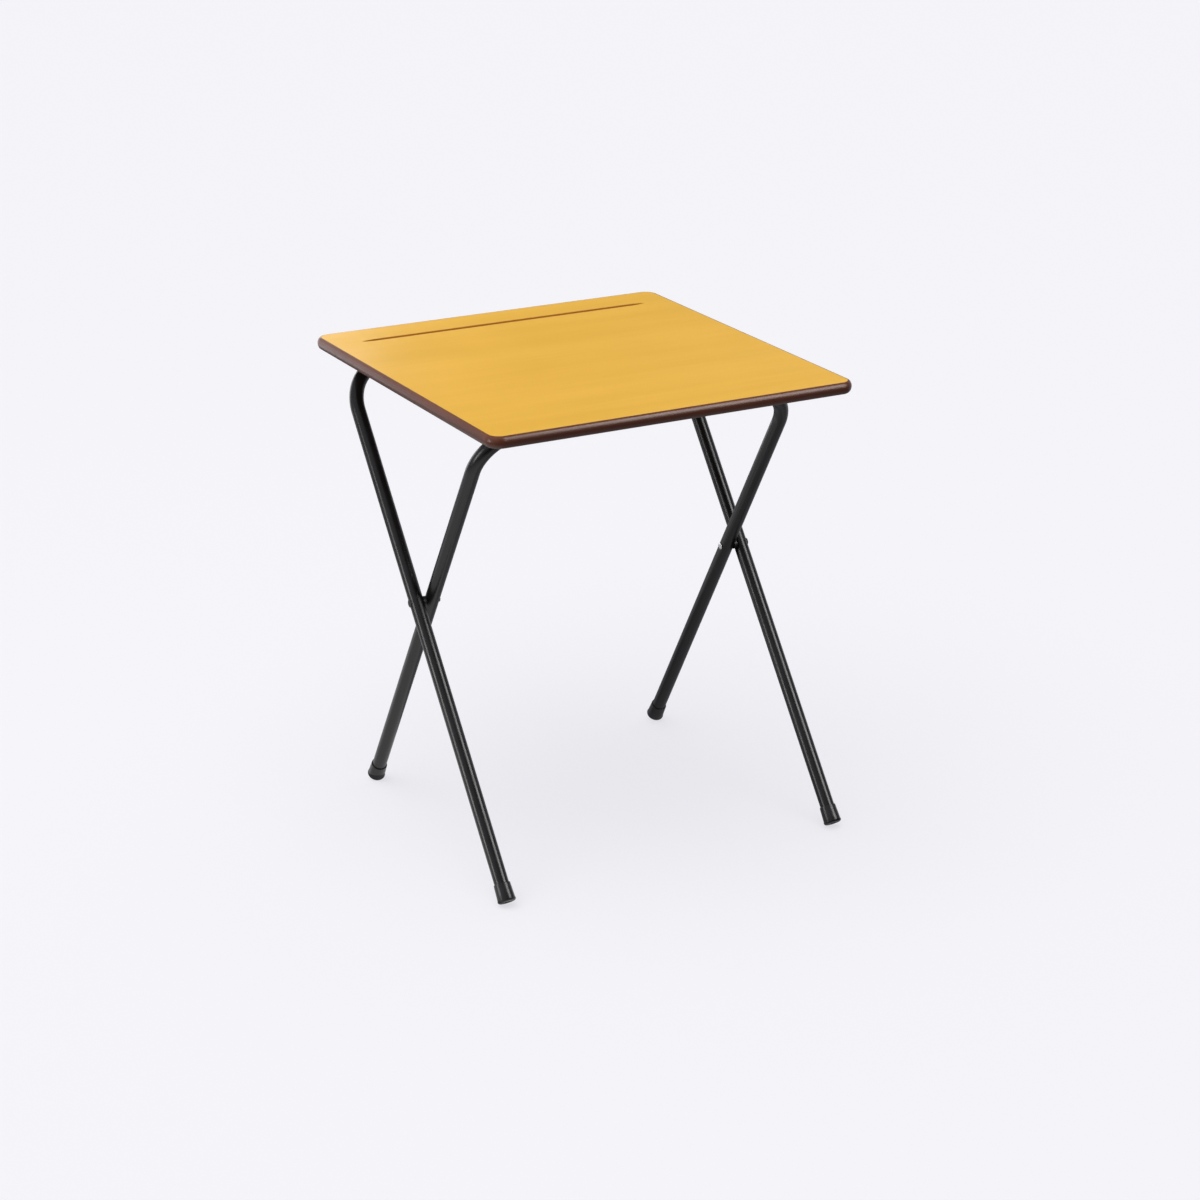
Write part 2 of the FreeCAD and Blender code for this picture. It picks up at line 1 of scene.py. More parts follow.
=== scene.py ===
"""Folding table: the visible pieces, materials, light and camera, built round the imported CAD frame."""

import bpy
import json
import math
from mathutils import Matrix, Vector


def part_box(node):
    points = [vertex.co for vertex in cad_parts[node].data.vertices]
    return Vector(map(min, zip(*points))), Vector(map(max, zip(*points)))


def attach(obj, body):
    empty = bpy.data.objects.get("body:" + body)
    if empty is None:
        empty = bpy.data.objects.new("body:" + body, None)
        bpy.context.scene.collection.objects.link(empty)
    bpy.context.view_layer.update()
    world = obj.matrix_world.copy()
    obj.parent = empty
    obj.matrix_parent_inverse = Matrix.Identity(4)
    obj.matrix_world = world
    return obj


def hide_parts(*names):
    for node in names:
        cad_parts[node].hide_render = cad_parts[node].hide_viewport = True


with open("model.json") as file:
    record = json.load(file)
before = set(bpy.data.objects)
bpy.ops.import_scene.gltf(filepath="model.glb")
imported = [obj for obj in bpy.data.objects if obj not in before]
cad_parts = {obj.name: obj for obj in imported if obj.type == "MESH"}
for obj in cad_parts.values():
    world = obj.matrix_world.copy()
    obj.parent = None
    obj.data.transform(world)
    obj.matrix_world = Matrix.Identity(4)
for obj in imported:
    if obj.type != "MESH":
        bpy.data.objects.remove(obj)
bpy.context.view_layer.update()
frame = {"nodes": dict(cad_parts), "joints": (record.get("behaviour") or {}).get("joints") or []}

MM = 0.001
SIDES = (("left", -1), ("right", 1))
X, Z = Vector((1, 0, 0)), Vector((0, 0, 1))

# Sizes that the box round a CAD node can't show
TUBE_RADIUS = 11 * MM
BEND_RADIUS = 75 * MM
CORNER_RADIUS = 22 * MM
EDGE_ROUND = 4.5 * MM
GROOVE_INSET = 68 * MM
GROOVE_HALF = 251 * MM
GROOVE_WIDE = 5 * MM
GROOVE_DEEP = 4 * MM
GROOVE_RAMP = 30 * MM
FOOT_RADIUS = 13.88 * MM  # a hair inside the CAD ferrule
FOOT_NECK = 12.5 * MM
FOOT_BASE = 5 * MM
FOOT_GRIP = 23 * MM
FOOT_RIM = 3.6 * MM
STRAP_THICK = 2 * MM
STRAP_TURN = 2.2 * MM
CLAMP_PLAY = 0.1 * MM
CATCH_PLAY = 0.4 * MM
CAP_RADIUS = 6 * MM
CAP_WALL = 1.9 * MM
CAP_EDGE = 0.6 * MM
CAP_RECESS = 0.75 * MM
RIVET_HEAD = 5.2 * MM
RIVET_DOME = 1.0 * MM
RIVET_HIGH = 1.5 * MM
SHANK_RADIUS = 3 * MM
CLENCH_RADIUS = 3.4 * MM
CLENCH_HIGH = 0.4 * MM


# ---------------------------------------------------------------------------------------------------------
# Node-tree helpers
# ---------------------------------------------------------------------------------------------------------
class Nodes:
    """A node tree, with short ways to add and join nodes."""

    def __init__(self, tree):
        self.tree = tree

    def add(self, kind, **inputs):
        made = self.tree.nodes.new(kind)
        for name, given in inputs.items():
            self.feed(made.inputs[name.replace("_", " ")], given)
        return made

    def feed(self, socket, given):
        """Join a socket to another one, or set it to a number or a colour."""
        if isinstance(given, bpy.types.NodeSocket):
            self.tree.links.new(given, socket)
        else:
            socket.default_value = given

    def remap(self, given, low, high, to_low=0.0, to_high=1.0):
        """A value carried from one range to another and held inside it."""
        made = self.add("ShaderNodeMapRange", Value=given)
        limits = {"From Min": low, "From Max": high, "To Min": to_low, "To Max": to_high}
        for name, number in limits.items():
            made.inputs[name].default_value = number
        return made.outputs["Result"]

    def maths(self, operation, first, second):
        made = self.tree.nodes.new("ShaderNodeMath")
        made.operation = operation
        self.feed(made.inputs[0], first)
        self.feed(made.inputs[1], second)
        return made.outputs["Value"]

    def mix(self, share, first, second):
        """A colour between two colours, each a tuple or a socket."""
        made = self.tree.nodes.new("ShaderNodeMix")
        made.data_type = "RGBA"
        sockets = {item.identifier: item for item in (*made.inputs, *made.outputs)}
        self.feed(sockets["Factor_Float"], share)
        for name, colour in (("A_Color", first), ("B_Color", second)):
            self.feed(sockets[name], (*colour, 1.0) if isinstance(colour, tuple) else colour)
        return sockets["Result_Color"]


class Shader(Nodes):
    """A material built on one Principled shader."""

    def __init__(self, name, **constants):
        self.material = bpy.data.materials.new(name)
        self.material.use_nodes = True
        super().__init__(self.material.node_tree)
        self.surface = self.tree.nodes["Principled BSDF"]
        for socket, given in constants.items():
            self.give(socket.replace("_", " "), given)
        self.coordinates = self.add("ShaderNodeTexCoord").outputs["Object"]

    def give(self, name, given):
        """Set one of the shader's own sockets, or join it to another node."""
        self.feed(self.surface.inputs[name], given)

    def stretched(self, scale):
        """Object coordinates scaled along each axis, for grain and brushed marks."""
        mapping = self.add("ShaderNodeMapping", Vector=self.coordinates)
        mapping.inputs["Scale"].default_value = scale
        return mapping.outputs["Vector"]

    def noise(self, scale, detail, rough=0.5):
        """Cloudy noise, 0 to 1: scale is a number, or one for each axis to stretch it into a grain."""
        if isinstance(scale, tuple):
            vector, scale = self.stretched(scale), 1.0
        else:
            vector = self.coordinates
        made = self.add("ShaderNodeTexNoise", Scale=scale, Detail=detail, Roughness=rough)
        self.tree.links.new(vector, made.inputs["Vector"])
        return made.outputs["Fac"]

    def axis(self, name):
        """One coordinate of the object space: X, Y or Z."""
        return self.add("ShaderNodeSeparateXYZ", Vector=self.coordinates).outputs[name]

    def bump(self, height, distance, strength, under=None):
        """A normal tilted by a height of 0 to 1 times a distance, on top of another where one is given."""
        made = self.add("ShaderNodeBump", Height=height, Distance=distance, Strength=strength)
        if under:
            self.tree.links.new(under, made.inputs["Normal"])
        return made.outputs["Normal"]


# ---------------------------------------------------------------------------------------------------------
# Materials
# ---------------------------------------------------------------------------------------------------------
def beech_laminate():
    """Satin laminate printed with a faint yellow-orange beech: soft bands, fine lines and short flecks."""
    shader = Shader("beech_laminate_print", Specular_IOR_Level=0.4)
    bands = shader.noise((1.6, 22.0, 1.0), 3.0)
    lines = shader.noise((9.0, 420.0, 1.0), 6.0, 0.65)
    flecks = shader.noise((150.0, 1500.0, 1.0), 2.0)
    clouds = shader.noise(3.0, 2.0)
    colour = shader.mix(shader.remap(bands, 0.3, 0.7), (0.745, 0.420, 0.041), (0.800, 0.462, 0.055))
    colour = shader.mix(shader.remap(lines, 0.35, 0.75, 0.0, 0.35), colour, (0.690, 0.365, 0.040))
    colour = shader.mix(shader.remap(flecks, 0.66, 0.74, 0.0, 0.30), colour, (0.560, 0.270, 0.035))
    colour = shader.mix(shader.remap(clouds, 0.35, 0.65, 0.0, 0.25), colour, (0.810, 0.455, 0.060))
    shader.give("Base Color", colour)
    smears = shader.noise(6.0, 4.0)
    shader.give("Roughness", shader.remap(smears, 0.3, 0.7, 0.34, 0.44))
    texture = shader.noise((260.0, 1200.0, 400.0), 2.0)
    shader.give("Normal", shader.bump(texture, 0.05 * MM, 0.35))
    return shader.material


def brown_edging():
    """Glossy dark red-brown plastic with faint die lines along it and scuffs on the nose."""
    shader = Shader("brown_edging_pvc", Specular_IOR_Level=0.5)
    clouds = shader.noise(9.0, 4.0)
    colour = shader.mix(shader.remap(clouds, 0.3, 0.7), (0.115, 0.031, 0.013), (0.145, 0.041, 0.017))
    scuffs = shader.noise((60.0, 60.0, 420.0), 5.0, 0.7)
    colour = shader.mix(shader.remap(scuffs, 0.66, 0.80, 0.0, 0.35), colour, (0.20, 0.085, 0.05))
    shader.give("Base Color", colour)
    shader.give("Roughness", shader.remap(scuffs, 0.35, 0.75, 0.30, 0.42))
    die_lines = shader.noise((2.0, 2.0, 1400.0), 2.0)
    ripple = shader.noise(14.0, 2.0)
    rippled = shader.bump(ripple, 0.6 * MM, 0.30)
    shader.give("Normal", shader.bump(die_lines, 0.04 * MM, 0.4, rippled))
    return shader.material


def black_tube():
    """Semi-gloss black powder coat with a fine orange peel and a few dull rubs."""
    shader = Shader("black_powder_coat", Specular_IOR_Level=0.5)
    rubs = shader.noise(26.0, 5.0, 0.6)
    colour = shader.mix(shader.remap(rubs, 0.40, 0.78), (0.0035, 0.0035, 0.004), (0.008, 0.008, 0.009))
    shader.give("Base Color", colour)
    shader.give("Roughness", shader.remap(rubs, 0.3, 0.75, 0.22, 0.36))
    peel = shader.noise(900.0, 2.0)
    waves = shader.noise(60.0, 2.0)
    waved = shader.bump(waves, 0.3 * MM, 0.12)
    shader.give("Normal", shader.bump(peel, 0.04 * MM, 0.2, waved))
    return shader.material


def black_ferrule():
    """Satin black moulded vinyl, dusty and scuffed towards the floor."""
    shader = Shader("black_vinyl_ferrule")
    height = shader.remap(shader.axis("Z"), 0.0, 18 * MM, 1.0, 0.0)
    scuffs = shader.remap(shader.noise(240.0, 6.0, 0.7), 0.45, 0.75)
    worn = shader.maths("MULTIPLY", height, scuffs)
    shader.give("Base Color", shader.mix(worn, (0.010, 0.010, 0.011), (0.075, 0.072, 0.070)))
    shader.give("Roughness", shader.remap(worn, 0.0, 1.0, 0.30, 0.70))
    grain = shader.noise(1400.0, 3.0)
    shader.give("Normal", shader.bump(grain, 0.06 * MM, 0.25))
    return shader.material


def black_nylon():
    """Satin black moulded nylon, slightly uneven in its sheen."""
    shader = Shader("black_nylon")
    sheen = shader.noise(70.0, 4.0)
    shader.give("Roughness", shader.remap(sheen, 0.3, 0.7, 0.36, 0.52))
    colour = shader.mix(shader.remap(sheen, 0.3, 0.8), (0.012, 0.012, 0.013), (0.022, 0.022, 0.024))
    shader.give("Base Color", colour)
    shader.give("Normal", shader.bump(shader.noise(1600.0, 2.0), 0.04 * MM, 0.5))
    return shader.material


def plated_steel(name, bright, rough):
    """Zinc-plated steel: a slightly mottled metal with a faint warm and cool bloom."""
    shader = Shader(name, Metallic=1.0)
    bloom = shader.noise(160.0, 4.0)
    warm = (bright * 0.98, bright * 0.94, bright * 0.86)
    cool = (bright * 1.02, bright * 1.03, bright * 1.07)
    shader.give("Base Color", shader.mix(shader.remap(bloom, 0.35, 0.65), warm, cool))
    grain = shader.noise(900.0, 5.0, 0.7)
    shader.give("Roughness", shader.remap(grain, 0.3, 0.7, rough - 0.06, rough + 0.10))
    shader.give("Normal", shader.bump(grain, 0.03 * MM, 0.5))
    return shader.material


def painted_strip():
    """Black painted steel strip, rubbed to bare metal in small patches."""
    shader = Shader("painted_strip")
    rub = shader.remap(shader.noise(150.0, 6.0, 0.72), 0.68, 0.76)
    shader.give("Base Color", shader.mix(rub, (0.018, 0.018, 0.020), (0.30, 0.29, 0.28)))
    shader.give("Metallic", shader.remap(rub, 0.0, 1.0, 0.0, 0.8))
    shader.give("Roughness", shader.remap(shader.noise(60.0, 4.0), 0.3, 0.7, 0.32, 0.50))
    shader.give("Normal", shader.bump(shader.noise(1100.0, 3.0), 0.04 * MM, 0.5))
    return shader.material


def fibreboard():
    """Fibreboard: fine felted fibres, with the routed groove sealed a deep red-brown."""
    shader = Shader("fibreboard", Specular_IOR_Level=0.15)
    fibres = shader.noise(700.0, 6.0, 0.75)
    raw = shader.mix(shader.remap(fibres, 0.3, 0.7), (0.26, 0.155, 0.08), (0.40, 0.26, 0.15))
    sealed = shader.mix(shader.remap(fibres, 0.3, 0.7), (0.33, 0.112, 0.003), (0.43, 0.158, 0.007))
    _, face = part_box("top_core")
    seal_low, seal_high = 4.4 * MM, 4.2 * MM  # the seal fades out just under the groove's floor
    sealed_part = shader.remap(shader.axis("Z"), face.z - seal_low, face.z - seal_high)
    shader.give("Base Color", shader.mix(sealed_part, raw, sealed))
    shader.give("Roughness", shader.remap(sealed_part, 0.0, 1.0, 0.85, 0.5))
    shader.give("Normal", shader.bump(fibres, 0.15 * MM, 0.6))
    return shader.material


def backing_sheet():
    """The plain balancing sheet underneath: kraft-brown resin paper with a sanded tooth."""
    shader = Shader("backing_sheet")
    fibres = shader.noise((120.0, 900.0, 120.0), 5.0, 0.7)
    patches = shader.noise(7.0, 4.0)
    colour = shader.mix(shader.remap(fibres, 0.3, 0.7), (0.215, 0.150, 0.100), (0.270, 0.195, 0.135))
    colour = shader.mix(shader.remap(patches, 0.35, 0.7, 0.0, 0.35), colour, (0.30, 0.225, 0.165))
    shader.give("Base Color", colour)
    shader.give("Roughness", shader.remap(patches, 0.3, 0.7, 0.52, 0.68))
    shader.give("Normal", shader.bump(fibres, 0.08 * MM, 0.5))
    return shader.material


MATERIALS = {
    "beech_laminate": beech_laminate(),
    "brown_edging": brown_edging(),
    "black_tube": black_tube(),
    "black_ferrule": black_ferrule(),
    "black_nylon": black_nylon(),
    "zinc_steel": plated_steel("zinc_plated_steel", 0.70, 0.24),
    "screw_steel": plated_steel("screw_steel", 0.62, 0.30),
    "fitting_steel": painted_strip(),
    "board": fibreboard(),
    "backing_sheet": backing_sheet(),
}


# ---------------------------------------------------------------------------------------------------------
# Mesh helpers
# ---------------------------------------------------------------------------------------------------------
def add_piece(name, mesh, slot, body, *nodes):
    """Put a finished mesh in the scene as the piece that stands for these CAD nodes."""
    mesh.materials.append(MATERIALS[slot])
    piece = bpy.data.objects.new(name, mesh)
    bpy.context.scene.collection.objects.link(piece)
    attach(piece, body)
    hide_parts(*nodes)


def mesh_from(name, points, faces):
    """A smooth-shaded mesh that stays sharp at its real edges."""
    mesh = bpy.data.meshes.new(name)
    mesh.from_pydata([tuple(point) for point in points], [], faces)
    mesh.validate()
    mesh.shade_smooth()
    mesh.set_sharp_from_angle(angle=math.radians(35))
    return mesh


def arc(centre, radius, start, end, steps):
    """Points of a flat arc between two angles in degrees."""
    turns = [math.radians(start + (end - start) * step / steps) for step in range(steps + 1)]
    return [(centre[0] + radius * math.cos(t), centre[1] + radius * math.sin(t)) for t in turns]


def lathe(name, profile, place, steps=64):
    """Turn a profile of (radius, height) points, bottom to top, about +Z, then place it."""
    points, faces, rings = [], [], []
    turns = [2 * math.pi * step / steps for step in range(steps)]
    for radius, height in profile:
        ring = [Vector((radius * math.cos(t), radius * math.sin(t), height)) for t in turns]
        if radius == 0.0:
            ring = ring[:1]
        rings.append(range(len(points), len(points) + len(ring)))
        points += ring
    for low, high in zip(rings, rings[1:]):
        for step in range(steps):
            after = (step + 1) % steps
            if len(low) == 1:
                faces.append((low[0], high[after], high[step]))
            elif len(high) == 1:
                faces.append((low[step], low[after], high[0]))
            else:
                faces.append((low[step], low[after], high[after], high[step]))
    return mesh_from(name, [place @ point for point in points], faces)


def sweep(name, path, section, closed):
    """Carry a closed section of (across, up) points along a path of (point, across, up) stations."""
    points, faces = [], []
    rows, columns = len(path), len(section)
    for origin, across, up in path:
        points += [origin + across * offset + up * height for offset, height in section]
    for row in range(rows if closed else rows - 1):
        here = row * columns
        above = ((row + 1) % rows) * columns
        for column in range(columns):
            after = (column + 1) % columns
            faces.append((here + column, here + after, above + after, above + column))
    if not closed:
        last = len(points) - columns
        faces.append(tuple(reversed(range(columns))))
        faces.append(tuple(range(last, len(points))))
    return mesh_from(name, points, faces)


def rounded_loop(half_x, half_y, radius):
    """Stations round a rounded rectangle, anticlockwise: (x, y) and the outward direction."""
    steps = 16
    stations = []
    for quarter, (sign_x, sign_y) in enumerate(((1, -1), (1, 1), (-1, 1), (-1, -1))):
        centre = Vector((sign_x * (half_x - radius), sign_y * (half_y - radius)))
        for step in range(steps + 1):
            angle = math.radians(-90 + 90 * quarter + 90 * step / steps)
            outward = Vector((math.cos(angle), math.sin(angle)))
            stations.append((centre + outward * radius, outward))
    return stations


# ---------------------------------------------------------------------------------------------------------
# The top
# ---------------------------------------------------------------------------------------------------------
edge_low, edge_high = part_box("edge_moulding")
sheet_low, sheet_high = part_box("top_laminate")
TOP_MIDDLE = (edge_low + edge_high) / 2
HALF_DEPTH = (edge_high.y - edge_low.y) / 2
HALF_THICK = (edge_high.z - edge_low.z) / 2
EDGE_WIDTH = edge_high.x - sheet_high.x
GROOVE_Y = edge_high.y - GROOVE_INSET
FIELD_LOOP = rounded_loop(
    edge_high.x - EDGE_WIDTH, HALF_DEPTH - EDGE_WIDTH, CORNER_RADIUS - EDGE_WIDTH
)


def make_edging():
    """The edging: a crowned nose between two rounder corners, with eased shoulders beside the sheets."""
    ease = 0.35 * MM
    inset = 0.06 * MM
    shoulder = 88  # degrees up from the nose, where each corner meets its shoulder
    middle = HALF_THICK - EDGE_ROUND
    spare = EDGE_WIDTH - EDGE_ROUND
    crown = (EDGE_WIDTH**2 + HALF_THICK**2 - 2 * HALF_THICK * EDGE_ROUND) / (2 * spare)
    join = math.degrees(math.atan2(middle, crown - EDGE_WIDTH))
    upper = [(inset, HALF_THICK - 3 * ease), (inset, HALF_THICK - ease)]
    upper += [(inset + 0.4 * ease, HALF_THICK - 0.25 * ease)]
    section = upper + arc((0, middle), EDGE_ROUND, shoulder, join, 12)
    section += arc((EDGE_WIDTH - crown, 0), crown, join, -join, 20)[1:-1]
    section += arc((0, -middle), EDGE_ROUND, -join, -shoulder, 12)
    section += [(offset, -height) for offset, height in reversed(upper)]
    path = [(TOP_MIDDLE + point.to_3d(), outward.to_3d(), Z) for point, outward in FIELD_LOOP]
    mesh = sweep("rounded_edging", path, section[::-1], closed=True)
    add_piece("rounded_edging", mesh, "brown_edging", "tabletop", "edge_moulding")


def groove_outline():
    """The groove's rim, anticlockwise: straight sides that close in a long taper at each end."""
    ball = (GROOVE_WIDE**2 + GROOVE_DEEP**2) / (2 * GROOVE_DEEP)
    end = (GROOVE_RAMP**2 + ball**2) / (2 * ball)
    tip = math.sqrt(end**2 - (end - GROOVE_DEEP) ** 2)
    straight = GROOVE_HALF - GROOVE_RAMP
    steps = 12
    side = []
    for step in range(steps):
        along = tip * math.sin(math.pi / 2 * step / steps)
        radius = ball - end + math.sqrt(end**2 - along**2)
        side.append((straight + along, math.sqrt(radius**2 - (ball - GROOVE_DEEP) ** 2)))
    right = [(x, -wide) for x, wide in side] + [(straight + tip, 0.0)] + side[::-1]
    return right + [(-x, -y) for x, y in right]


def make_sheet():
    """The laminate sheet with its groove routed through, its edges finely eased."""
    ease = 0.12 * MM
    curve = bpy.data.curves.new("sheet_outline", "CURVE")
    curve.dimensions = "2D"
    curve.fill_mode = "BOTH"
    curve.extrude = (sheet_high.z - sheet_low.z) / 2 - ease
    curve.bevel_depth = ease
    curve.bevel_resolution = 2
    curve.offset = -ease
    outside = [tuple(point) for point, _ in FIELD_LOOP]
    for loop, centre_y in ((outside, 0.0), (groove_outline(), GROOVE_Y - TOP_MIDDLE.y)):
        spline = curve.splines.new("POLY")
        spline.points.add(len(loop) - 1)
        for point, (x, y) in zip(spline.points, loop):
            point.co = (x, y + centre_y, 0, 1)
        spline.use_cyclic_u = True
    outline = bpy.data.objects.new("sheet_outline", curve)
    bpy.context.scene.collection.objects.link(outline)
    depsgraph = bpy.context.evaluated_depsgraph_get()
    mesh = bpy.data.meshes.new_from_object(outline.evaluated_get(depsgraph))
    bpy.data.objects.remove(outline)
    middle = Vector((TOP_MIDDLE.x, TOP_MIDDLE.y, (sheet_low.z + sheet_high.z) / 2))
    mesh.transform(Matrix.Translation(middle))
    mesh.shade_smooth()
    mesh.set_sharp_from_angle(angle=math.radians(30))
    add_piece("beech_top_sheet", mesh, "beech_laminate", "tabletop", "top_laminate")


make_edging()
make_sheet()


# ---------------------------------------------------------------------------------------------------------
# The leg frames
# ---------------------------------------------------------------------------------------------------------
PIVOT = Vector(next(joint["pos_m"] for joint in frame["joints"] if joint["name"] == "leg_fold"))


class LegFrame:
    """One bent tube's place. Up the legs, its rise is from pivots to bar and its drop from ends to pivots."""

    def __init__(self, node, body, front_bar):
        low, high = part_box(node)
        self.node = node
        self.body = body
        self.half = high.x - TUBE_RADIUS
        bar_y = low.y + TUBE_RADIUS if front_bar else high.y - TUBE_RADIUS
        self.bar = Vector((0, bar_y, high.z - TUBE_RADIUS))
        self.centre = Vector((0, PIVOT.y, PIVOT.z))
        self.rise = (self.bar - self.centre).length
        self.up = (self.bar - self.centre).normalized()
        self.face = X.cross(self.up)
        end_height = low.z + TUBE_RADIUS * abs(self.up.y)
        self.drop = (PIVOT.z - end_height) / self.up.z

    def point(self, across, along):
        """A point in the plane of the tube's axis: across the table, and up the legs from the pivots."""
        return self.centre + X * across + self.up * along

    def placed(self, across, along):
        """A placement on the leg's axis with +Z up along the leg."""
        place = Matrix((X, self.face * -1, self.up)).transposed().to_4x4()
        place.translation = self.point(across, along)
        return place


OUTER = LegFrame("outer_leg_frame", "outer_frame", front_bar=False)
INNER = LegFrame("inner_leg_frame", "inner_frame", front_bar=True)


def make_leg_tube(name, legs):
    """The tube: up one leg, round a bend, along the bar, round the other bend and down."""
    bend_steps = 28
    steps = 24
    corner = legs.half - BEND_RADIUS
    bend_start = legs.rise - BEND_RADIUS
    leg_long = bend_start + legs.drop
    quarter = math.pi / 2
    turns = [quarter * step / bend_steps for step in range(bend_steps + 1)]

    # Each stop is (across the table, up the legs, the turn from straight up towards +X).
    stops = [(-legs.half, -legs.drop + leg_long * step / steps, 0.0) for step in range(steps)]
    stops += [
        (-corner - BEND_RADIUS * math.cos(turn), bend_start + BEND_RADIUS * math.sin(turn), turn)
        for turn in turns
    ]
    stops += [(-corner + 2 * corner * step / steps, legs.rise, quarter) for step in range(1, steps)]
    stops += [
        (corner + BEND_RADIUS * math.sin(turn), bend_start + BEND_RADIUS * math.cos(turn), quarter + turn)
        for turn in turns
    ]
    stops += [(legs.half, bend_start - leg_long * step / steps, math.pi) for step in range(1, steps + 1)]
    path = [
        (legs.point(across, along), X * math.cos(turn) - legs.up * math.sin(turn), legs.face)
        for across, along, turn in stops
    ]
    section = arc((0, 0), TUBE_RADIUS, 360, 0, 56)[:-1]
    add_piece(name, sweep(name, path, section, closed=False), "black_tube", legs.body, legs.node)


def make_ferrule(side_name, side, which, legs):
    """A tapered vinyl ferrule: a rounded rim, a fine step above the foot and a rolled neck."""
    bore = TUBE_RADIUS + 0.03 * MM
    well = 0.8 * MM
    lip = 0.4 * MM
    roll = 0.7 * MM
    # Out from the middle of the sole, round the rim and the step, up the taper and into the bore
    profile = [(0.0, -FOOT_BASE + well), (4 * MM, -FOOT_BASE + well)]
    profile += [(4.6 * MM, -FOOT_BASE + 0.1 * MM), (9.0 * MM, -FOOT_BASE)]
    profile += arc((FOOT_RADIUS - FOOT_RIM, FOOT_RIM - FOOT_BASE), FOOT_RIM, -90, 0, 12)
    profile += arc((FOOT_RADIUS - lip, -1.2 * MM), lip, 0, 80, 5)
    profile += [(FOOT_RADIUS - 0.62 * MM, -0.7 * MM), (FOOT_RADIUS - 0.55 * MM, -0.2 * MM)]
    profile += [(FOOT_NECK + 0.40 * MM, 11 * MM), (FOOT_NECK, FOOT_GRIP - 1.6 * MM)]
    profile += arc((FOOT_NECK - roll, FOOT_GRIP - roll), roll, 0, 90, 6)
    profile += [(bore + 0.15 * MM, FOOT_GRIP), (bore, FOOT_GRIP - 0.2 * MM), (bore, FOOT_GRIP - 4 * MM)]
    name = f"{which}_ferrule_{side_name}"
    mesh = lathe(name, profile, legs.placed(side * legs.half, -legs.drop))
    add_piece(name, mesh, "black_ferrule", legs.body, f"{which}_foot_{side_name}")


make_leg_tube("outer_leg_tube", OUTER)
make_leg_tube("inner_leg_tube", INNER)
for side_name, side in SIDES:
    make_ferrule(side_name, side, "front", OUTER)
    make_ferrule(side_name, side, "rear", INNER)


# ---------------------------------------------------------------------------------------------------------
# Pivots
# ---------------------------------------------------------------------------------------------------------
def outward_place(side, distance):
    """On the pivots' axis, +Z pointing away from the table's middle."""
    place = Matrix.Rotation(side * math.pi / 2, 4, "Y")
    place.translation = Vector((side * distance, PIVOT.y, PIVOT.z))
    return place


def make_rivet(side_name, side):
    """The rivet: a low dome with a dimple inside, a shank, and a rolled clench outside."""
    node = f"pivot_rivet_{side_name}"
    low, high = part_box(node)
    inner_end = min(abs(low.x), abs(high.x))
    length = high.x - low.x
    flange = 0.35 * MM
    # The dimple and the dome, the head's rim, the shank, then the clench with its own dimple
    profile = [(0.0, 0.35 * MM), (1.2 * MM, 0.22 * MM), (1.7 * MM, 0.05 * MM), (2.4 * MM, 0.12 * MM)]
    profile += [(RIVET_HEAD * share, RIVET_DOME * share**2.4) for share in (0.55, 0.7, 0.82, 0.92)]
    profile += arc((RIVET_HEAD - flange, RIVET_HIGH - flange), flange, -30, 90, 6)
    profile += [(SHANK_RADIUS, RIVET_HIGH), (SHANK_RADIUS, length - CLENCH_HIGH)]
    profile += [(CLENCH_RADIUS, length - CLENCH_HIGH), (CLENCH_RADIUS, length - 0.2 * MM)]
    profile += [(2.9 * MM, length - 0.02 * MM), (1.7 * MM, length - 0.05 * MM)]
    profile += [(1.2 * MM, length - 0.35 * MM), (0.0, length - 0.4 * MM)]
    mesh = lathe(f"rivet_{side_name}", profile, outward_place(side, inner_end), 48)
    add_piece(f"rivet_{side_name}", mesh, "zinc_steel", "outer_frame", node)


def make_cap(side_name, side):
    """The push-on cap: a low dome with a softened edge, its skirt saddled to the round tube."""
    node = f"pivot_cap_{side_name}"
    low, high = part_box(node)
    ridge = OUTER.half + TUBE_RADIUS
    dome_high = max(abs(low.x), abs(high.x)) - ridge
    soft = 0.2 * MM
    skirt = 2 * MM
    inside = CAP_RADIUS - CAP_WALL
    ceiling = dome_high - CAP_RECESS
    dome = dome_high - CAP_EDGE
    radius = (CAP_RADIUS**2 + dome**2) / (2 * dome)
    reach = math.degrees(math.asin((CAP_RADIUS - soft) / radius))
    profile = [(0.0, ceiling), (inside, ceiling), (inside, -skirt)]
    profile += [(CAP_RADIUS, -skirt), (CAP_RADIUS, CAP_EDGE - soft)]
    profile += arc((0, dome_high - radius), radius, 90 - reach, 90, 14)[:-1] + [(0.0, dome_high)]
    mesh = lathe(f"cap_{side_name}", profile, outward_place(side, ridge), 48)
    # Bring what would be inside the tube out to its surface.
    for vertex in mesh.vertices:
        across = (vertex.co - OUTER.centre).dot(OUTER.face)
        seat = OUTER.half + math.sqrt(TUBE_RADIUS**2 - across**2)
        if abs(vertex.co.x) < seat:
            vertex.co.x = side * seat
    add_piece(f"cap_{side_name}", mesh, "black_nylon", "outer_frame", node)


for side_name, side in SIDES:
    make_rivet(side_name, side)
    make_cap(side_name, side)


# ---------------------------------------------------------------------------------------------------------
# Fittings under the top
# ---------------------------------------------------------------------------------------------------------
def strap_side(start, wing, play):
    """Half a strap's route of (y, z) points about the bar: along the top, round a turn and under the bar."""
    ring = TUBE_RADIUS + play + STRAP_THICK / 2
    side_top = wing - STRAP_TURN
    wing_run = 6 * MM
    route = [(start, wing)]
    route += [(-ring - STRAP_TURN - wing_run * share, wing) for share in (1.0, 0.5)]
    route += arc((-ring - STRAP_TURN, side_top), STRAP_TURN, 90, 0, 8)
    route += [(-ring, side_top * share) for share in (0.75, 0.5, 0.25)]
    return route + arc((0, 0), ring, 180, 270, 16)


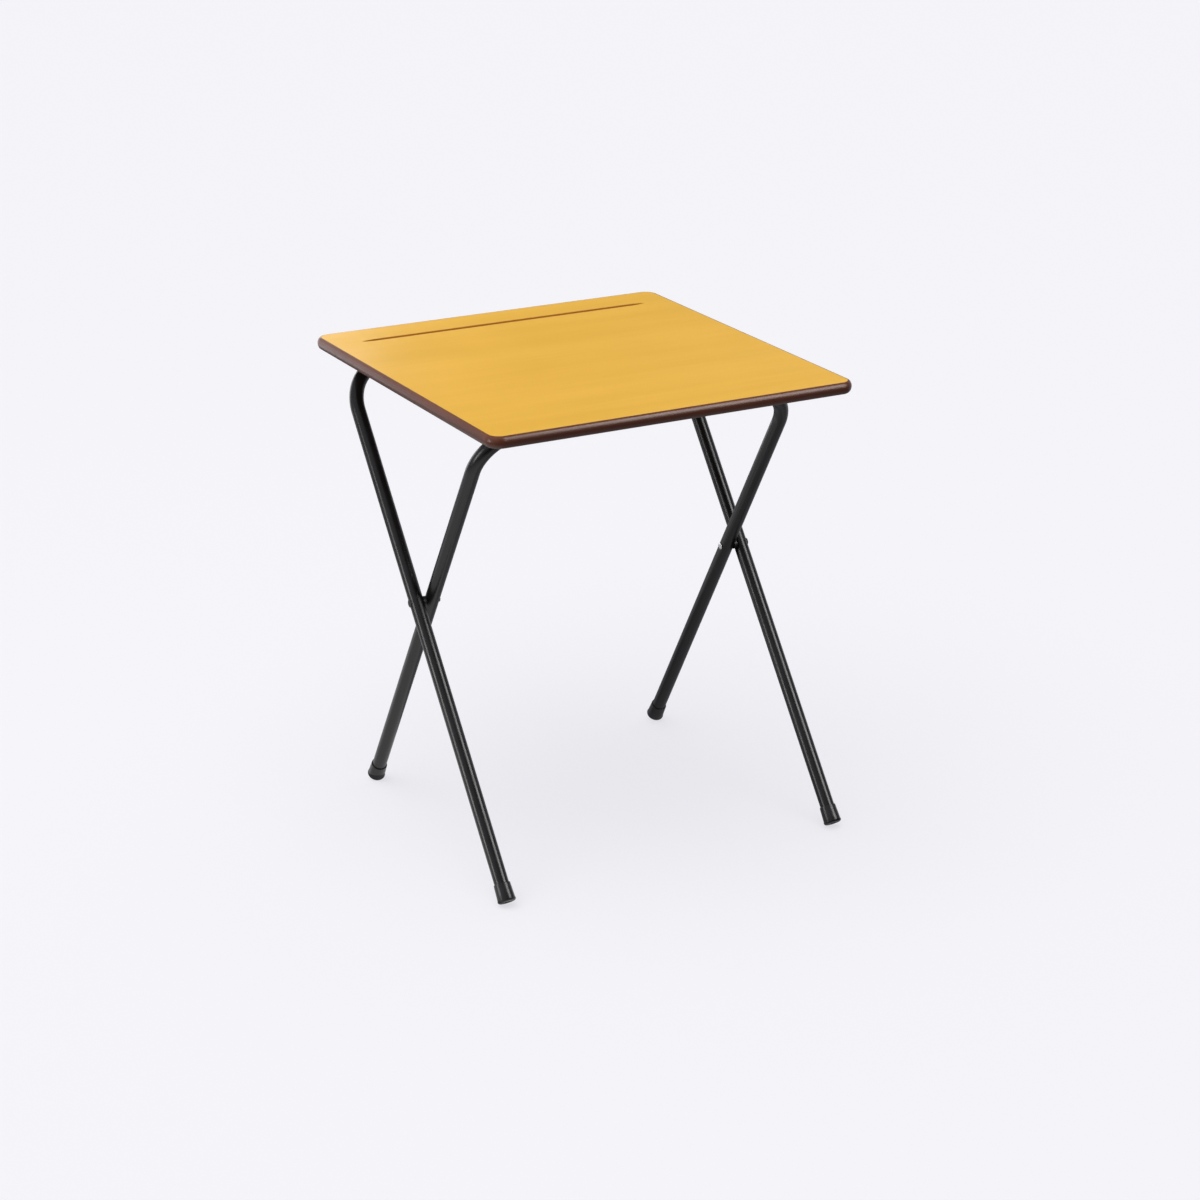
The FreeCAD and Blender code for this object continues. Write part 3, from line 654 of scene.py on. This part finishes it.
def add_strap(name, node, bar, route):
    """A strip as wide as its CAD node, bent along a route about the bar, with eased edges."""
    low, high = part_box(node)
    ease = 0.4 * MM
    centre_x = (low.x + high.x) / 2
    half_w, half_t = (high.x - low.x) / 2, STRAP_THICK / 2
    section = []
    for sign_w, sign_t, start in ((1, 1, 0), (-1, 1, 90), (-1, -1, 180), (1, -1, 270)):
        corner = (sign_w * (half_w - ease), sign_t * (half_t - ease))
        section += arc(corner, ease, start, start + 90, 3)
    path = []
    for index, (y, z) in enumerate(route):
        before = route[max(index - 1, 0)]
        after = route[min(index + 1, len(route) - 1)]
        along = Vector((0, after[0] - before[0], after[1] - before[1])).normalized()
        path.append((Vector((centre_x, bar.y + y, bar.z + z)), X, X.cross(along) * -1))
    add_piece(name, sweep(name, path, section, closed=False), "fitting_steel", "tabletop", node)


def make_clamp(side_name):
    """A saddle clamp: two wings against the top and a strap round the rear bar."""
    node = f"rear_clamp_{side_name}"
    low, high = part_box(node)
    wing = high.z - OUTER.bar.z - STRAP_THICK / 2
    half = strap_side((low.y - high.y) / 2, wing, CLAMP_PLAY)
    route = half + [(-y, z) for y, z in reversed(half[:-1])]
    add_strap(f"saddle_clamp_{side_name}", node, OUTER.bar, route)


def make_catch(side_name):
    """A hooked catch: a wing against the top, a riser and a cradle with a flared lip."""
    node = f"front_catch_{side_name}"
    low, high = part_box(node)
    wing = high.z - INNER.bar.z - STRAP_THICK / 2
    route = strap_side(low.y - INNER.bar.y, wing, CATCH_PLAY)
    lip = high.y - INNER.bar.y
    flare = 1.4 * MM
    under = route[-1][1]
    route += [(lip * share, under - flare * share**1.6) for share in (0.33, 0.66, 1.0)]
    add_strap(f"hook_catch_{side_name}", node, INNER.bar, route)


for side_name, _ in SIDES:
    make_clamp(side_name)
    make_catch(side_name)

# CAD nodes whose shape is already right keep it and take a finished material.
KEPT = {
    "top_core": "board",
    "balancing_laminate": "backing_sheet",
    "rear_clamp_screws": "screw_steel",
    "front_catch_screws": "screw_steel",
    "pivot_washer_left": "zinc_steel",
    "pivot_washer_right": "zinc_steel",
    "pivot_spacer_left": "black_nylon",
    "pivot_spacer_right": "black_nylon",
}
for node_name, slot_name in KEPT.items():
    for material_slot in frame["nodes"][node_name].material_slots:
        material_slot.material = MATERIALS[slot_name]


# ---------------------------------------------------------------------------------------------------------
# Stage, light and camera
# ---------------------------------------------------------------------------------------------------------
def add_floor():
    """A plain pale floor. Part of its light is its own, so the table's shadow on it stays faint."""
    half = 30.0
    corners = [(-half, -half, 0), (half, -half, 0), (half, half, 0), (-half, half, 0)]
    mesh = bpy.data.meshes.new("floor")
    mesh.from_pydata(corners, [], [(0, 1, 2, 3)])
    shader = Shader(
        "pale_floor",
        Base_Color=(0.20, 0.20, 0.20, 1.0),
        Roughness=0.9,
        Specular_IOR_Level=0.0,
        Emission_Color=(0.953, 0.944, 1.0, 1.0),
        Emission_Strength=0.709,
    )
    mesh.materials.append(shader.material)
    floor = bpy.data.objects.new("floor", mesh)
    floor.visible_glossy = False
    floor.visible_diffuse = False
    bpy.context.scene.collection.objects.link(floor)


def add_lamp(kind, name, towards, power, **settings):
    """A lamp in a direction from the top's middle, shining back at it."""
    light = bpy.data.lights.new(name, kind)
    light.energy = power
    for key, number in settings.items():
        setattr(light, key, number)
    lamp = bpy.data.objects.new(name, light)
    lamp.location = TOP_MIDDLE + Vector(towards)
    lamp.rotation_mode = "QUATERNION"
    lamp.rotation_quaternion = Vector(towards).to_track_quat("Z", "Y")
    bpy.context.scene.collection.objects.link(lamp)
    return lamp


def add_panel(name, towards, size, brightness):
    """A soft panel that shows only as a reflection: size is its width and height in metres."""
    power = brightness * math.pi * size[0] * size[1]
    panel = add_lamp("AREA", name, towards, power, shape="RECTANGLE", size=size[0], size_y=size[1])
    panel.visible_diffuse = False
    panel.visible_camera = False
    return panel


def add_world():
    """The studio round the table: soft glows behind, to each side, below and above, and dim in front."""
    world = bpy.data.worlds.new("studio")
    world.use_nodes = True
    nodes = Nodes(world.node_tree)
    direction = nodes.add("ShaderNodeTexCoord").outputs["Generated"]
    height = nodes.add("ShaderNodeSeparateXYZ", Vector=direction).outputs["Z"]

    def lobe(towards, edge, low, high):
        """A soft glow round a direction, fading to nothing at a cosine."""
        facing = nodes.tree.nodes.new("ShaderNodeVectorMath")
        facing.operation = "DOT_PRODUCT"
        nodes.tree.links.new(direction, facing.inputs[0])
        facing.inputs[1].default_value = Vector(towards).normalized()
        return nodes.remap(facing.outputs["Value"], edge, 1.0, low, high)

    behind_left = lobe((-0.45, 0.86, 0.20), 0.62, 0.06, 0.6)
    right = lobe((0.93, 0.37, 0.0), 0.72, 0.0, 0.6)
    left = lobe((-0.85, -0.25, 0.45), 0.60, 0.0, 0.45)
    below = nodes.remap(height, -0.35, -0.85, 0.0, 0.34)
    above = nodes.remap(height, 0.45, 0.95, 0.0, 0.25)
    sides = nodes.maths("ADD", nodes.maths("ADD", behind_left, right), left)
    background = world.node_tree.nodes["Background"]
    nodes.feed(background.inputs["Color"], (0.96, 0.94, 1.0, 1.0))
    nodes.feed(background.inputs["Strength"], nodes.maths("ADD", sides, nodes.maths("ADD", below, above)))
    bpy.context.scene.world = world


def add_lights():
    """Two suns and a soft lamp that light without a reflection, then panels that only reflect."""
    for lamp in (
        add_lamp("SUN", "key_sun", (-0.9, -0.3, 3.0), 2.08, angle=math.radians(70)),
        add_lamp("SUN", "fill_sun", (1.2, 1.4, 3.0), 0.8, angle=math.radians(90)),
        add_lamp("AREA", "left_fill", (-1.6, 0.6, 1.5), 5.0, size=1.2),
    ):
        lamp.visible_glossy = False
    add_panel("left_panel", (-3.9, 0.35, 0.1), (1.1, 1.5), 5.6)
    add_panel("front_right_panel", (1.75, -2.45, 1.95), (1.5, 2.2), 7.3)
    add_panel("back_left_panel", (-0.35, 1.35, -0.1), (1.15, 0.7), 1.3)
    add_panel("back_panel", (0.0, 1.6, 0.3), (0.75, 0.40), 2.4)
    floor_panel = add_panel("floor_panel", (-0.9, 0.1, -0.69), (1.5, 1.8), 0.45)
    floor_panel.rotation_quaternion = (0.0, 1.0, 0.0, 0.0)  # it shines straight up


def add_camera():
    """A long lens from the front left, above the top."""
    azimuth, elevation, roll = (math.radians(turn) for turn in (-29.421, 20.7126, 0.4741))
    target = Vector((0.0405, TOP_MIDDLE.y, 0.3154))
    distance = 4.4058
    back = Vector((
        math.sin(azimuth) * math.cos(elevation),
        -math.cos(azimuth) * math.cos(elevation),
        math.sin(elevation),
    ))
    data = bpy.data.cameras.new("camera")
    data.sensor_width = 36.0
    data.lens = 85.182
    data.clip_end = 200.0
    camera = bpy.data.objects.new("camera", data)
    camera.location = target + back * distance
    camera.rotation_mode = "QUATERNION"
    level = (-back).to_track_quat("-Z", "Y")
    camera.rotation_quaternion = level @ Matrix.Rotation(roll, 3, "Z").to_quaternion()
    bpy.context.scene.collection.objects.link(camera)
    bpy.context.scene.camera = camera


add_floor()
add_world()
add_lights()
add_camera()
bpy.context.scene.view_settings.view_transform = "Standard"
